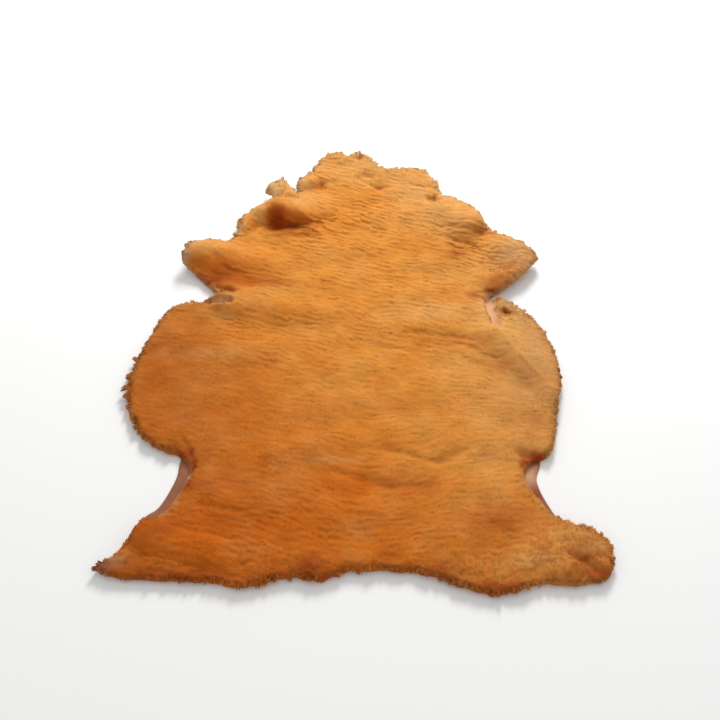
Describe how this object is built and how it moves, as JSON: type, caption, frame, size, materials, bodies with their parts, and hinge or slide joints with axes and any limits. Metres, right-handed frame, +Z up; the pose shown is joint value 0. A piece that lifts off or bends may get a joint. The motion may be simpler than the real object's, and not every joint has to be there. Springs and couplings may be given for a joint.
{
  "type": "shorn sheepskin hide",
  "caption": "Tanned sheepskin hide with its shorn wool on, lying flat wool side up, with the animal's own outline, a curled neck edge and bare skin at the armpits and flanks.",
  "frame": {"origin": "centre of the hide's bounding box, on the surface that it lies on", "axes": "+Z up out of the wool, +Y from the tail to the neck, +X to the right seen from above with the neck away from the viewer"},
  "size_m": [0.7776, 1.011, 0.0391],
  "materials": {
    "wool": "short, dense, velvety shorn wool dyed golden orange, with fine crimps that run across the body",
    "skin": "soft matt tanned skin, dusty pink-brown, with a fine suede nap on the flesh side"
  },
  "bodies": {
    "root": {"hide": "wool"}
  },
  "joints": []
}
